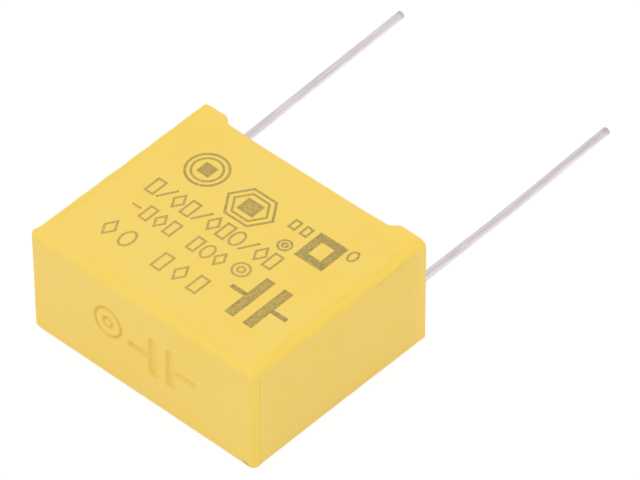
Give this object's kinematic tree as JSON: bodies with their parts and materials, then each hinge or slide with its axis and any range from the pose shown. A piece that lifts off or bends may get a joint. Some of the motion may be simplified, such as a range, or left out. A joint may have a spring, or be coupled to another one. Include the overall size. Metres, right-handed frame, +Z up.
{
  "type": "safety capacitor",
  "caption": "Boxed metallised-film safety capacitor: a drafted plastic case on small feet, sealed with resin, with two straight tinned wire leads.",
  "frame": {"origin": "middle of the large face that the case lies on", "axes": "+X along the lead pitch, +Y along the case towards the tips of the leads, +Z up, square to the face it lies on. Both large faces are drafted by 0.7 degrees, so the case's own axis and the normal of the seating plane rise from +Y by 0.7 degrees."},
  "size_m": [0.026, 0.0474, 0.012],
  "materials": {
    "case_plastic": "satin moulded",
    "potting_resin": "cast epoxy, glossy",
    "film": "metallised polypropylene film, wound and pressed",
    "sprayed_metal": "sprayed zinc, rough",
    "tinned_wire": "matt tin plate"
  },
  "bodies": {
    "root": {"case": "case_plastic", "potting_resin": "potting_resin", "film_winding": "film", "left_end_contact": "sprayed_metal", "right_end_contact": "sprayed_metal", "left_lead": "tinned_wire", "right_lead": "tinned_wire"}
  },
  "joints": []
}
